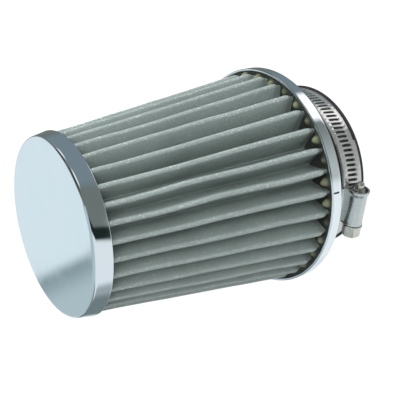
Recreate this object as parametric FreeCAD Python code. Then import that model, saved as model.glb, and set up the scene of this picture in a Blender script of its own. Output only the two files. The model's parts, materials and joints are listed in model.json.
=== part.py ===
"""Cone air filter with a pleated wire-mesh element, chrome end cap, chrome base ring,
rubber neck and worm-drive hose clamp.

Units are millimetres. +Z runs along the filter's axis from the open neck to the closed cap.
The origin is the centre of the neck's mouth, and the clamp's screw housing is on the +X side.
"""

import FreeCAD, Part
import math
import os

V = FreeCAD.Vector
AXIS = V(0, 0, 1)

# Rubber neck
NECK_BORE_R = 38.1
NECK_WALL = 3.2
NECK_LENGTH = 27.0
NECK_LIP_RISE = 1.3
NECK_LIP_WIDTH = 1.6
NECK_LIP_ROUND = 0.6
NECK_FLANGE_R = 45.0
NECK_FLANGE_THICKNESS = 2.0

# Pressed chrome sheet: base ring and end cap
SHEET_THICKNESS = 0.8
EDGE_FACETS = 3
RING_R = 55.5
RING_HEIGHT = 6.5
RING_CORNER_R = 1.4
RING_HEM_R = 0.65
CAP_RIM_R = 41.0
CAP_SKIRT_R = 42.6
CAP_HEIGHT = 8.0
CAP_CORNER_R = 1.8
OVERALL_HEIGHT = 150.0

# Potting compound behind the element's closed end
CAP_POTTING_DEPTH = 3.6

# Pleated element: the section at the base, which shrinks evenly towards the cap
PLEAT_COUNT = 32
PLEAT_TIP_R = 1.7
PLEAT_VALLEY_R = 1.5
TIP_FACETS = 4
VALLEY_FACETS = 2
MEDIA_THICKNESS = 1.6
MESH_THICKNESS = 0.5
ELEMENT_BORE_STEP = 1.3
RING_TIP_CLEARANCE = 0.9
CAP_TIP_CLEARANCE = 0.25

# Hose clamp
BAND_WIDTH = 12.0
BAND_THICKNESS = 0.7
BAND_GAP_TO_LIP = 0.3
BAND_TAIL_DEG = 42.0
SLOT_LENGTH = 6.0
SLOT_WIDTH = 1.25
SLOT_PITCH = 2.43
SLOT_SLANT_DEG = 6.0
SLOT_COUNT = 40
SLOTS_UNDER_SCREW = 2
SCREW_CORE_R = 3.3
SCREW_CLEARANCE = 0.3
SCREW_TIP_R = 2.0
SCREW_TIP_LENGTH = 4.0
SCREW_TIP_CHAMFER = 0.8
SCREW_COLLAR_R = 4.9
SCREW_COLLAR_THICKNESS = 1.3
SCREW_HEAD_FLATS = 8.0
SCREW_HEAD_HEIGHT = 5.2
SCREW_SLOT_WIDTH = 1.3
SCREW_SLOT_DEPTH = 2.0
HOUSING_LENGTH = 19.0
HOUSING_WALL = 0.9
HOUSING_FOOT_WIDTH = 1.6
HOUSING_FLARE = 0.7
HOUSING_FLARE_LENGTH = 1.5

# Levels along the axis
RING_TOP_Z = NECK_LENGTH + RING_HEIGHT
RING_FLOOR_Z = NECK_LENGTH + SHEET_THICKNESS
FLANGE_TOP_Z = RING_FLOOR_Z + NECK_FLANGE_THICKNESS
CAP_SKIRT_Z = OVERALL_HEIGHT - CAP_HEIGHT
CAP_INNER_Z = OVERALL_HEIGHT - SHEET_THICKNESS
ELEMENT_BASE_Z = RING_TOP_Z - 2 * RING_HEM_R
ELEMENT_TOP_Z = CAP_INNER_Z - CAP_POTTING_DEPTH
BAND_BOTTOM_Z = NECK_LIP_WIDTH + BAND_GAP_TO_LIP
CLAMP_Z = BAND_BOTTOM_Z + BAND_WIDTH / 2

# Radii that follow from those above
NECK_R = NECK_BORE_R + NECK_WALL
BAND_R = NECK_R + BAND_THICKNESS
TAIL_R = BAND_R + BAND_THICKNESS
RING_INNER_R = RING_R - SHEET_THICKNESS
SCREW_X = TAIL_R + SCREW_CLEARANCE + SCREW_CORE_R
HOUSING_BORE_R = SCREW_CORE_R + SCREW_CLEARANCE
HOUSING_R = HOUSING_BORE_R + HOUSING_WALL


def spaced(first, last, steps):
    """Evenly spaced values from the first to the last, both included."""
    return [first + (last - first) * i / steps for i in range(steps + 1)]


def revolve(corners):
    """Solid of revolution about the axis.

    A corner is (radius, z) or (radius, z, rounding, facets), where the facets follow the rounding's arc.
    """
    points = [V(c[0], 0, c[1]) for c in corners]
    outline = []
    for i, corner in enumerate(corners):
        here = points[i]
        if len(corner) == 2:
            outline.append(here)
            continue
        rounding, facets = corner[2:]
        to_last = (points[i - 1] - here).normalize()
        to_next = (points[(i + 1) % len(points)] - here).normalize()
        half_angle = to_last.getAngle(to_next) / 2
        inwards = (to_last + to_next).normalize()
        centre = here + inwards * (rounding / math.sin(half_angle))
        first = here + to_last * (rounding / math.tan(half_angle)) - centre
        last = here + to_next * (rounding / math.tan(half_angle)) - centre
        sweep = first.getAngle(last)
        for turn in spaced(0, sweep, facets):
            spoke = first * math.sin(sweep - turn) + last * math.sin(turn)
            outline.append(centre + spoke * (1 / math.sin(sweep)))
    return Part.Face(Part.makePolygon(outline + outline[:1])).revolve(V(0, 0, 0), AXIS, 360)


def tube(inner_r, outer_r, bottom_z, height):
    """Upright hollow cylinder."""
    outer = Part.makeCylinder(outer_r, height, V(0, 0, bottom_z))
    return outer.cut(Part.makeCylinder(inner_r, height, V(0, 0, bottom_z)))


# Chrome pressings
def end_cap():
    """Shallow pressed cup with a flat face, rounded rim and slightly flared skirt."""
    wall = SHEET_THICKNESS
    return revolve(
        [
            (0, OVERALL_HEIGHT),
            (CAP_RIM_R, OVERALL_HEIGHT, CAP_CORNER_R, EDGE_FACETS),
            (CAP_SKIRT_R, CAP_SKIRT_Z),
            (CAP_SKIRT_R - wall, CAP_SKIRT_Z),
            (CAP_RIM_R - wall, CAP_INNER_Z, CAP_CORNER_R - wall, 1),
            (0, CAP_INNER_Z),
        ]
    )


def cap_inner_radius(z):
    """Radius inside the end cap's flared skirt at a height."""
    share = (CAP_INNER_Z - z) / (CAP_INNER_Z - CAP_SKIRT_Z)
    return CAP_RIM_R - SHEET_THICKNESS + (CAP_SKIRT_R - CAP_RIM_R) * share


def base_ring():
    """Shallow pressed pan round the element's base, with a hemmed lip and a hole for the neck."""
    lip_r = RING_R - 2 * RING_HEM_R
    lip_z = RING_TOP_Z - 2 * RING_HEM_R
    return revolve(
        [
            (NECK_R, NECK_LENGTH),
            (RING_R, NECK_LENGTH, RING_CORNER_R, EDGE_FACETS),
            (RING_R, RING_TOP_Z, RING_HEM_R, EDGE_FACETS),
            (lip_r, RING_TOP_Z, RING_HEM_R, EDGE_FACETS),
            (lip_r, lip_z),
            (RING_INNER_R, lip_z),
            (RING_INNER_R, RING_FLOOR_Z, RING_CORNER_R - SHEET_THICKNESS, 1),
            (NECK_R, RING_FLOOR_Z),
        ]
    )


# Rubber neck and potting
def rubber_neck():
    """Moulded sleeve: a flange inside the base ring, a clamping barrel and a retaining lip."""
    lip_r = NECK_R + NECK_LIP_RISE
    return revolve(
        [
            (NECK_BORE_R, 0),
            (lip_r, 0, NECK_LIP_ROUND, EDGE_FACETS),
            (lip_r, NECK_LIP_WIDTH, NECK_LIP_ROUND, EDGE_FACETS),
            (NECK_R, NECK_LIP_WIDTH),
            (NECK_R, RING_FLOOR_Z),
            (NECK_FLANGE_R, RING_FLOOR_Z),
            (NECK_FLANGE_R, FLANGE_TOP_Z),
            (NECK_BORE_R, FLANGE_TOP_Z),
        ]
    )


def base_potting():
    """Ring of set compound over the neck's flange, which closes the element's base end."""
    inner_r = NECK_BORE_R + ELEMENT_BORE_STEP
    return revolve(
        [
            (inner_r, FLANGE_TOP_Z),
            (NECK_FLANGE_R, FLANGE_TOP_Z),
            (NECK_FLANGE_R, RING_FLOOR_Z),
            (RING_INNER_R, RING_FLOOR_Z, RING_CORNER_R - SHEET_THICKNESS, 1),
            (RING_INNER_R, ELEMENT_BASE_Z),
            (inner_r, ELEMENT_BASE_Z),
        ]
    )


def cap_potting():
    """Disc of set compound that fills the cap behind the element."""
    return revolve(
        [
            (0, ELEMENT_TOP_Z),
            (cap_inner_radius(ELEMENT_TOP_Z), ELEMENT_TOP_Z),
            (CAP_RIM_R - SHEET_THICKNESS, CAP_INNER_Z, CAP_CORNER_R - SHEET_THICKNESS, 1),
            (0, CAP_INNER_Z),
        ]
    )


# Pleated element
def element_radius(z):
    """Outer radius over the pleat tips, a straight taper from the ring to the cap."""
    base_r = RING_INNER_R - RING_TIP_CLEARANCE
    top_r = cap_inner_radius(ELEMENT_TOP_Z) - CAP_TIP_CLEARANCE
    return base_r + (top_r - base_r) * (z - ELEMENT_BASE_Z) / (ELEMENT_TOP_Z - ELEMENT_BASE_Z)


def pleat_outline(z, offset):
    """Closed outline at a height, offset outwards from the middle of the media.

    Each pleat has a bend at its tip and a bend in its valley, joined by flanks that touch both arcs.
    A valley faces the clamp's screw housing.
    """
    scale = element_radius(z) / element_radius(ELEMENT_BASE_Z)
    skin = MEDIA_THICKNESS / 2 + MESH_THICKNESS
    half_pitch = math.pi / PLEAT_COUNT
    tip_r = PLEAT_TIP_R + offset
    valley_r = PLEAT_VALLEY_R - offset
    tip = V(element_radius(ELEMENT_BASE_Z) - PLEAT_TIP_R - skin, 0, 0)
    valley_at = NECK_BORE_R + ELEMENT_BORE_STEP + PLEAT_VALLEY_R + skin
    valley = V(math.cos(half_pitch), math.sin(half_pitch), 0) * valley_at
    span = valley - tip
    lean = math.atan2(span.y, span.x) - math.acos((tip_r + valley_r) / span.Length)
    bend = [tip + V(math.cos(t), math.sin(t), 0) * tip_r for t in spaced(-lean, lean, TIP_FACETS)]
    valley_turns = spaced(lean, 2 * half_pitch - lean, VALLEY_FACETS)
    bend += [valley - V(math.cos(t), math.sin(t), 0) * valley_r for t in valley_turns]
    outline = []
    for i in range(PLEAT_COUNT):
        turn = half_pitch * (2 * i + 1)
        c, s = math.cos(turn) * scale, math.sin(turn) * scale
        outline += [V(p.x * c - p.y * s, p.x * s + p.y * c, z) for p in bend]
    return outline + outline[:1]


def pleat_layer(inner_offset, outer_offset):
    """Folded sheet between two offsets from the middle of the media, from the base to the cap."""
    faces = []
    base_rims, top_rims = [], []
    for offset in (outer_offset, inner_offset):
        base = pleat_outline(ELEMENT_BASE_Z, offset)
        top = pleat_outline(ELEMENT_TOP_Z, offset)
        for corners in zip(base, base[1:], top[1:], top, base):
            faces.append(Part.Face(Part.makePolygon(corners)))
        base_rims.append(Part.makePolygon(base))
        top_rims.append(Part.makePolygon(top))
    for rims in (base_rims, top_rims):
        faces += Part.makeFace(rims, "Part::FaceMakerBullseye").Faces
    skin = Part.makeCompound(faces)
    skin.sewShape()
    layer = Part.makeSolid(skin.Shells[0])
    if layer.Volume < 0:
        layer.reverse()
    return layer


def outer_mesh():
    """Woven wire mesh folded over the outside of the media."""
    half = MEDIA_THICKNESS / 2
    return pleat_layer(half, half + MESH_THICKNESS)


def filter_media():
    """Layered cotton gauze, folded with the mesh."""
    half = MEDIA_THICKNESS / 2
    return pleat_layer(-half, half)


def inner_mesh():
    """Woven wire mesh folded over the inside of the media."""
    half = MEDIA_THICKNESS / 2
    return pleat_layer(-half - MESH_THICKNESS, -half)


# Hose clamp
def clamp_band():
    """Slotted strap round the neck, whose free end runs out over itself past the screw's tip."""
    loop = tube(NECK_R, BAND_R, BAND_BOTTOM_Z, BAND_WIDTH)
    tail = tube(BAND_R, TAIL_R, BAND_BOTTOM_Z, BAND_WIDTH)
    start_deg = -math.degrees(math.asin(HOUSING_LENGTH / 2 / TAIL_R))
    reach = TAIL_R + BAND_WIDTH
    sector = Part.makeCylinder(reach, BAND_WIDTH, V(0, 0, BAND_BOTTOM_Z), AXIS, BAND_TAIL_DEG - start_deg)
    sector.rotate(V(0, 0, 0), AXIS, start_deg)
    band = loop.fuse(tail.common(sector)).removeSplitter()
    step_deg = math.degrees(SLOT_PITCH / BAND_R)
    slots = []
    corner = V(BAND_R - NECK_WALL, -SLOT_WIDTH / 2, CLAMP_Z - SLOT_LENGTH / 2)
    for i in range(SLOT_COUNT):
        slot = Part.makeBox(2 * NECK_WALL, SLOT_WIDTH, SLOT_LENGTH, corner)
        slot.rotate(V(BAND_R, 0, CLAMP_Z), V(1, 0, 0), SLOT_SLANT_DEG)
        slot.rotate(V(0, 0, 0), AXIS, (i - SLOTS_UNDER_SCREW) * step_deg)
        slots.append(slot)
    return band.cut(slots)


def housing_profile(grow):
    """Arch in the X-Z plane over the screw, with its feet carried down past the strap."""
    r = HOUSING_R + grow
    foot_x = NECK_R - NECK_WALL
    half = BAND_WIDTH / 2 + HOUSING_FOOT_WIDTH
    sill_x = TAIL_R + HOUSING_WALL
    top = V(SCREW_X + r, 0, CLAMP_Z)
    left = V(SCREW_X, 0, CLAMP_Z - r)
    right = V(SCREW_X, 0, CLAMP_Z + r)
    corners = [
        right,
        V(sill_x, 0, CLAMP_Z + r),
        V(sill_x, 0, CLAMP_Z + half),
        V(foot_x, 0, CLAMP_Z + half),
        V(foot_x, 0, CLAMP_Z - half),
        V(sill_x, 0, CLAMP_Z - half),
        V(sill_x, 0, CLAMP_Z - r),
        left,
    ]
    edges = [Part.makeLine(a, b) for a, b in zip(corners, corners[1:])]
    edges.append(Part.Arc(left, top, right).toShape())
    return Part.Face(Part.Wire(Part.__sortEdges__(edges)))


def clamp_housing():
    """Pressed housing that straddles the strap and holds the worm screw."""
    body = housing_profile(0).extrude(V(0, HOUSING_LENGTH, 0))
    body.translate(V(0, -HOUSING_LENGTH / 2, 0))
    flare = housing_profile(HOUSING_FLARE).extrude(V(0, HOUSING_FLARE_LENGTH, 0))
    flare.translate(V(0, HOUSING_LENGTH / 2 - HOUSING_FLARE_LENGTH, 0))
    through = 2 * HOUSING_LENGTH
    bore = Part.makeCylinder(HOUSING_BORE_R, through, V(SCREW_X, -HOUSING_LENGTH, CLAMP_Z), V(0, 1, 0))
    strap_room = Part.makeCylinder(TAIL_R, BAND_WIDTH, V(0, 0, BAND_BOTTOM_Z))
    neck_room = Part.makeCylinder(NECK_R, NECK_LENGTH)
    lip_room = Part.makeCylinder(NECK_R + NECK_LIP_RISE + BAND_GAP_TO_LIP, BAND_BOTTOM_Z)
    throat_corner = V(NECK_R, -HOUSING_LENGTH, CLAMP_Z - HOUSING_BORE_R)
    throat = Part.makeBox(SCREW_X - NECK_R, through, 2 * HOUSING_BORE_R, throat_corner)
    return body.fuse(flare).cut([bore, strap_room, neck_room, lip_room, throat]).removeSplitter()


def clamp_screw():
    """Worm screw: a plain core, a reduced tip, a collar and a slotted hexagon head."""
    along = V(0, 1, 0)
    half = HOUSING_LENGTH / 2
    core_y = -half - SCREW_CLEARANCE
    core = Part.makeCylinder(SCREW_CORE_R, half - core_y, V(SCREW_X, core_y, CLAMP_Z), along)
    tip = Part.makeCylinder(SCREW_TIP_R, SCREW_TIP_LENGTH, V(SCREW_X, half, CLAMP_Z), along)
    far_edges = [e for e in tip.Edges if e.BoundBox.YMin > half + SCREW_TIP_LENGTH / 2]
    tip = tip.makeChamfer(SCREW_TIP_CHAMFER, far_edges)
    collar_y = core_y - SCREW_COLLAR_THICKNESS
    collar = Part.makeCylinder(SCREW_COLLAR_R, SCREW_COLLAR_THICKNESS, V(SCREW_X, collar_y, CLAMP_Z), along)
    corner_r = SCREW_HEAD_FLATS / math.sqrt(3)
    head_y = collar_y - SCREW_HEAD_HEIGHT
    corner_turns = [math.radians(60 * i) for i in range(7)]
    hexagon = [
        V(SCREW_X + corner_r * math.cos(turn), head_y, CLAMP_Z + corner_r * math.sin(turn))
        for turn in corner_turns
    ]
    head = Part.Face(Part.makePolygon(hexagon)).extrude(V(0, SCREW_HEAD_HEIGHT, 0))
    slot_corner = V(SCREW_X - 2 * corner_r, head_y, CLAMP_Z - SCREW_SLOT_WIDTH / 2)
    slot = Part.makeBox(4 * corner_r, SCREW_SLOT_DEPTH, SCREW_SLOT_WIDTH, slot_corner)
    return core.fuse([tip, collar, head]).cut(slot).removeSplitter()


PARTS = {
    "end_cap": end_cap,
    "cap_potting": cap_potting,
    "outer_mesh": outer_mesh,
    "filter_media": filter_media,
    "inner_mesh": inner_mesh,
    "base_potting": base_potting,
    "base_ring": base_ring,
    "rubber_neck": rubber_neck,
    "clamp_band": clamp_band,
    "clamp_housing": clamp_housing,
    "clamp_screw": clamp_screw,
}


def main():
    """Writes one STEP file for each piece."""
    os.makedirs("parts", exist_ok=True)
    for name, build in PARTS.items():
        shape = build()
        print(name, "valid", shape.isValid(), "solids", len(shape.Solids), "mm3", round(shape.Volume, 1))
        shape.exportStep(f"parts/{name}.step")


main()
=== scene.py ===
"""Looks of the cone air filter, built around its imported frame.

Lengths are in millimetres until a mesh or a material is made, which are in metres.
"""

import json
import math

import bpy
from mathutils import Matrix, Vector, noise


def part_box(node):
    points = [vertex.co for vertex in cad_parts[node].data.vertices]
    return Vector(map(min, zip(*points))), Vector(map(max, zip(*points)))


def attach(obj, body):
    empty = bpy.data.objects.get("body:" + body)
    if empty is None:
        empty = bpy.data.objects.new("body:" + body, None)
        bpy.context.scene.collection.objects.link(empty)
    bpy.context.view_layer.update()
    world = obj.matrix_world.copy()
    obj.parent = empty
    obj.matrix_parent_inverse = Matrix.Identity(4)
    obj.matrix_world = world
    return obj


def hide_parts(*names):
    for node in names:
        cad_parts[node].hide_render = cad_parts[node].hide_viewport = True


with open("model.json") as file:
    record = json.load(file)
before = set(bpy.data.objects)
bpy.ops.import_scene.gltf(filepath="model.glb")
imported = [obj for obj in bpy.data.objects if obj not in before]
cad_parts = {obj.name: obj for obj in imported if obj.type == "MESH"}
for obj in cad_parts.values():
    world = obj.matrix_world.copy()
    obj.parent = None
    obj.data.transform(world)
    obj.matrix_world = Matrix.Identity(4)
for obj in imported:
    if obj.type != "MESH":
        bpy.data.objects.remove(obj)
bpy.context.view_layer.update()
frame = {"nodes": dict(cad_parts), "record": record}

MM = 0.001
FULL_TURN = 2 * math.pi


def low(node):
    """Lowest corner of a node, in millimetres."""
    return Vector(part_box(node)[0]) / MM


def high(node):
    """Highest corner of a node, in millimetres."""
    return Vector(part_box(node)[1]) / MM


# Levels and radii read from the frame
RING_R = high("base_ring").x
RING_BOTTOM_Z = low("base_ring").z
RING_TOP_Z = high("base_ring").z
CAP_SKIRT_R = high("end_cap").x
CAP_SKIRT_Z = low("end_cap").z
CAP_TOP_Z = high("end_cap").z
ELEMENT_BASE_Z = low("outer_mesh").z
ELEMENT_TOP_Z = high("outer_mesh").z
FLANGE_R = high("rubber_neck").x
FLANGE_TOP_Z = high("rubber_neck").z
BAND_BOTTOM_Z = low("clamp_band").z
BAND_TOP_Z = high("clamp_band").z
SCREW_TIP_Y = high("clamp_screw").y
SCREW_HEAD_Y = low("clamp_screw").y
HOUSING_HALF = high("clamp_housing").y
SCREW_X, _, CLAMP_Z = (c / MM for c in frame["record"]["behaviour"]["joints"][0]["pos_m"])
BORE_R = frame["record"]["mounts"][0]["dims"]["r_mm"]

# Pressed sheet, and the short joint line across the ring
SHEET = 0.8
CAP_RIM_R = 41.0
CAP_CORNER_R = 1.8
CAP_HEM = 0.35
CUP_STEPS = 256
RING_CORNER_R = 1.4
RING_HEM_R = 0.65
RING_LIP_R = RING_R - 2 * RING_HEM_R
RING_STEPS = 320
PAN_FLOOR_Z = RING_BOTTOM_Z + SHEET
JOINT_TURN = math.radians(17)
JOINT_WIDTH = 0.9
JOINT_FLOOR_SHARE = 0.9
JOINT_DEPTH = 0.5
JOINT_LENGTH = 3.4

# Rubber neck
NECK_WALL = 3.2
NECK_R = BORE_R + NECK_WALL
LIP_RISE = 1.3
LIP_R = NECK_R + LIP_RISE
LIP_WIDTH = 1.6
LIP_ROUND = 0.6

# Pleated element, whose section shrinks evenly from the ring to the cap
PLEATS = 32
HALF_PITCH = math.pi / PLEATS
PITCH = 2 * HALF_PITCH
RING_GAP = 0.9
BORE_STEP = 1.3
ELEMENT_BASE_R = RING_R - SHEET - RING_GAP
ELEMENT_TOP_R = 40.66
ELEMENT_BORE_R = BORE_R + BORE_STEP
TIP_R = 0.8
VALLEY_R = 1.0
HALF_MEDIA = 0.38
MESH = 0.34
SKIN = HALF_MEDIA + MESH
TIP_BASE = ELEMENT_BASE_R - TIP_R - SKIN
VALLEY_BASE = ELEMENT_BORE_R + VALLEY_R + SKIN
FINE_FOLD, FINE_ROWS = 4, 58
PLAIN_FOLD, PLAIN_ROWS = 2, 40
WIRE_PITCH = 0.52
THREAD_SPACING = 0.45

# How the folds are crimped into the compound, and how they wander
CRIMP_LENGTH = 6.0
CRIMP_SQUEEZE = 0.3
CRIMP_DROP = 1.7
CRIMP_ROW_SHARE = 0.25
FREE_FROM = 0.25
FREE_TO = 0.85
SWAY = 0.75
SWAY_LENGTH = 42.0
SHAKE_SHARE = 0.4
DENT = 0.45
DENT_LENGTH = 17.0

# Compound in the ring, with an uneven bead in each valley
POTTING_GAP = 0.05
POTTING_ROWS = 22
HEM_GAP = 0.1
BEAD_STEPS = 14
BEAD_LIFT, BEAD_LIFT_SPREAD = 2.8, 3.4
BEAD_R, BEAD_R_SPREAD = 51.2, 1.2
BEAD_REACH = 2.0
BEAD_STEEPNESS = 1.5
BEAD_GRAIN = 0.25
GRAIN_LENGTH = 2.5

# Places in the noise field where each kind of unevenness is read: step from pleat to pleat, and depth
SWAY_FIELD = (3.7, 0.4)
SHAKE_FIELD = (1.9, 4.4)
DENT_FIELD = (5.1, 9.2)
LIFT_FIELD, LIFT_PLACE = (4.3, 2.1), 0.5
BEAD_R_FIELD, BEAD_R_PLACE = (2.9, 0.3), 7.5

# Strap of the hose clamp
THREAD_PITCH = 2.43
BAND = 0.7
BAND_R = NECK_R + BAND
TAIL_R = BAND_R + BAND
TAIL_END = math.radians(42)
STRAP_INSET = 0.02
STRAP_ROWS = 4
STRAP_COLUMNS = 2
STRAP_EDGE = 0.12
SLOT_LENGTH = 6.0
SLOT_WIDTH = 1.25
SLOT_STEP = THREAD_PITCH / BAND_R
SLOT_SLANT = math.tan(math.radians(6))
SLOT_ROUND_SHARE = 0.8
SLOT_CORNER_STEPS = 3
SLOT_COUNT = 40
SLOTS_UNDER_SCREW = 2
TURN_DIGITS, LEVEL_DIGITS = 5, 4

# Housing of the hose clamp
HOUSING_WALL = 0.9
HOUSING_R = 4.5
HOUSING_FOOT = 1.6
HOUSING_INSET = 0.02
HOUSING_STEPS = 48
HOUSING_EDGE = 0.18
HOUSING_FLARE = 0.7
TIP_FLARE_FROM, TIP_FLARE_TO = 3.2, 0.9
HEAD_FLARE_FROM, HEAD_FLARE_TO = 1.6, 0.4
HEAD_FLARE_SHARE = 0.25
ARCH_STEPS = 20
LEG_SEAT_SHARE = 0.6
SADDLE_INSET = 0.4
SADDLE_STEPS = 24
SADDLE_CORNER_STEPS = 4
SADDLE_GAP = 0.03
SADDLE_LIP_GAP = 0.25
SADDLE_NECK_GAP = 0.3
RING_SIDE_GAP, RING_SIDE_ROUND = 0.15, 0.7
LIP_SIDE_GAP, LIP_SIDE_ROUND = 0.1, 0.4

# Screw of the hose clamp
SCREW_CORE_R = 2.9
THREAD_R = 3.5
RIDGE_FOOT, RIDGE_CREST = 0.12, 0.28
SHANK_SIDES, SHANK_ROWS = 48, 120
SCREW_TIP_R = 2.0
SCREW_TIP_LENGTH = 4.0
TIP_STEP = 0.05
TIP_TAPER = 1.2
TIP_POINT = 0.3
TIP_TAPER_SHARE, TIP_POINT_SHARE = 0.62, 0.4
COLLAR_GAP = 0.3
COLLAR_TOP_Y = -HOUSING_HALF - COLLAR_GAP
COLLAR_R = 4.9
COLLAR = 1.3
COLLAR_ROUND = 0.25
HEAD_FLATS = 8.0
HEAD_SIDES = 96
HEAD_STEP = 0.02
HEAD_CHAMFER, HEAD_EDGE = 0.7, 0.3
HEAD_EDGE_SHARE, HEAD_END_SHARE = 1.05, 0.93
DRIVER_SLOT = 1.3
DRIVER_DEPTH = 2.0

# Camera: where it sees the ring's centre and the filter's axis, as right, down and ahead
LENS = 72.68
SENSOR = 36.0
NEAR_CLIP = 0.01
RING_SEEN = Vector((29.90, -12.13, 417.66))
AXIS_SEEN = Vector((-0.8214, 0.2116, -0.5296)).normalized()
SPIN = math.radians(-27)


# Shared mesh tools
def smoothstep(low_edge, high_edge, value):
    """Smooth rise from 0 at one edge to 1 at the other."""
    t = min(1.0, max(0.0, (value - low_edge) / (high_edge - low_edge)))
    return t * t * (3 - 2 * t)


def spaced(first, last, steps):
    """Evenly spaced values from the first to the last, both included."""
    return [first + (last - first) * i / steps for i in range(steps + 1)]


def round_turns(steps):
    """Even turns round the axis."""
    return spaced(0, FULL_TURN, steps)[:-1]


def wander(index, place, field):
    """Smooth value from -1 to 1 along a pleat, different for every pleat."""
    step, depth = field
    return noise.noise(Vector((index * step, place, depth)))


def new_mesh(name, points, faces):
    """New mesh from points in millimetres."""
    mesh = bpy.data.meshes.new(name)
    mesh.from_pydata([tuple(c * MM for c in p) for p in points], [], faces)
    return mesh


def new_object(name, data):
    """New object in the scene."""
    made = bpy.data.objects.new(name, data)
    bpy.context.collection.objects.link(made)
    return made


def piece(name, points, faces, material, slot, body="filter", sharp_deg=40):
    """New mesh piece from points in millimetres, riding on a body."""
    mesh = new_mesh(name, points, faces)
    mesh.validate()
    mesh.shade_smooth()
    mesh.set_sharp_from_angle(angle=math.radians(sharp_deg))
    mesh.materials.append(material)
    made = new_object(name, mesh)
    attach(made, body)
    return made


def round_edges(made, width, segments, angle_deg):
    """Rounds the edges of a piece that are sharper than an angle."""
    edge = made.modifiers.new("edges", "BEVEL")
    edge.width = width * MM
    edge.segments = segments
    edge.limit_method = "ANGLE"
    edge.angle_limit = math.radians(angle_deg)


def rounded(corners, steps=8):
    """Closed outline whose corners are (a, b) or (a, b, rounding)."""
    outline = []
    for i, corner in enumerate(corners):
        here = Vector(corner[:2])
        if len(corner) == 2:
            outline.append(here)
            continue
        to_last = (Vector(corners[i - 1][:2]) - here).normalized()
        to_next = (Vector(corners[(i + 1) % len(corners)][:2]) - here).normalized()
        half = to_last.angle(to_next) / 2
        centre = here + (to_last + to_next).normalized() * (corner[2] / math.sin(half))
        first = here + to_last * (corner[2] / math.tan(half)) - centre
        last = here + to_next * (corner[2] / math.tan(half)) - centre
        sweep = first.angle(last)
        for turn in spaced(0, sweep, steps):
            spoke = first * math.sin(sweep - turn) + last * math.sin(turn)
            outline.append(centre + spoke / math.sin(sweep))
    return outline


def turned(outline, turns):
    """Points and faces of a closed outline of (radius, z) turned about the axis."""
    on_axis = 0.001
    steps = len(turns)
    points, rows, faces = [], [], []
    for radius, z in outline:
        count = 1 if radius < on_axis else steps
        rows.append(range(len(points), len(points) + count))
        points += [(radius * math.cos(t), radius * math.sin(t), z) for t in turns[:count]]
    for here, there in zip(rows, rows[1:] + rows[:1]):
        for i in range(steps):
            after = (i + 1) % steps
            corners = [here[i % len(here)], here[after % len(here)]]
            corners += [there[after % len(there)], there[i % len(there)]]
            kept = list(dict.fromkeys(corners))
            if len(kept) > 2:
                faces.append(kept)
    return points, faces


def ring_quads(here, there, count):
    """Quads between two closed rings of points, from the number of each ring's first point."""
    quads = []
    for i in range(count):
        after = (i + 1) % count
        quads.append([here + i, here + after, there + after, there + i])
    return quads


def joined(*parts):
    """One list of points and one of faces from several."""
    points, faces = [], []
    for part_points, part_faces in parts:
        start = len(points)
        points += part_points
        faces += [[start + i for i in face] for face in part_faces]
    return points, faces


def lofted(sections):
    """Points and faces of equal closed sections joined in a row and capped at both ends."""
    count = len(sections[0])
    points = [p for section in sections for p in section]
    faces = []
    for row in range(len(sections) - 1):
        faces += ring_quads(row * count, (row + 1) * count, count)
    faces.append(list(range(count))[::-1])
    faces.append([len(points) - count + i for i in range(count)])
    return points, faces


# Node tools
class Nodes:
    """Short calls that add nodes to a tree."""

    def __init__(self, tree):
        self.tree = tree

    def add(self, kind, **settings):
        """New node with its settings and inputs."""
        node = self.tree.nodes.new(kind)
        for name, value in settings.items():
            if hasattr(node, name):
                setattr(node, name, value)
            else:
                self.put(value, node.inputs[name])
        return node

    def put(self, value, socket):
        """Links a socket or sets a plain value."""
        if isinstance(value, bpy.types.NodeSocket):
            self.tree.links.new(value, socket)
        else:
            socket.default_value = value

    def fill(self, shader, values):
        """Links or sets inputs of a shader by their names."""
        for name, value in values.items():
            self.put(value, shader.inputs[name])

    def place(self):
        """Where a point is on its own piece, in metres."""
        return self.add("ShaderNodeTexCoord").outputs["Object"]

    def math(self, operation, first, second=0.0):
        """Result of one arithmetic step."""
        node = self.add("ShaderNodeMath", operation=operation)
        self.put(first, node.inputs[0])
        self.put(second, node.inputs[1])
        return node.outputs[0]

    def product(self, first, second):
        """One number times another."""
        return self.math("MULTIPLY", first, second)

    def dot(self, vector, direction):
        """Component of a vector along a fixed direction."""
        node = self.add("ShaderNodeVectorMath", operation="DOT_PRODUCT")
        self.put(vector, node.inputs[0])
        self.put(tuple(direction), node.inputs[1])
        return node.outputs["Value"]

    def rise(self, value, low_edge, high_edge, first=0.0, last=1.0):
        """Smooth change from one number to another between two edges."""
        node = self.add("ShaderNodeMapRange", interpolation_type="SMOOTHSTEP")
        for socket, given in zip(node.inputs, (value, low_edge, high_edge, first, last)):
            self.put(given, socket)
        return node.outputs[0]

    def mix(self, share, first, second):
        """Blend of two colours."""
        node = self.add("ShaderNodeMix", data_type="RGBA")
        share_input, first_input, second_input = 0, 6, 7
        colour_output = 2
        self.put(share, node.inputs[share_input])
        self.put(first, node.inputs[first_input])
        self.put(second, node.inputs[second_input])
        return node.outputs[colour_output]

    def noise(self, vector, scale, detail):
        """Cloudy value from 0 to 1."""
        return self.add("ShaderNodeTexNoise", Vector=vector, Scale=scale, Detail=detail).outputs[0]

    def bump(self, height, distance):
        """Surface normal disturbed by a height."""
        return self.add("ShaderNodeBump", Strength=1.0, Distance=distance, Height=height).outputs[0]


def new_material(name):
    """Material with its node tools and its shader."""
    material = bpy.data.materials.new(name)
    material.use_nodes = True
    shader = material.node_tree.nodes["Principled BSDF"]
    return material, Nodes(material.node_tree), shader


def colour(red, green, blue):
    """Opaque colour."""
    return (red, green, blue, 1.0)


def grey(level):
    """Opaque grey."""
    return colour(level, level, level)


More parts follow.
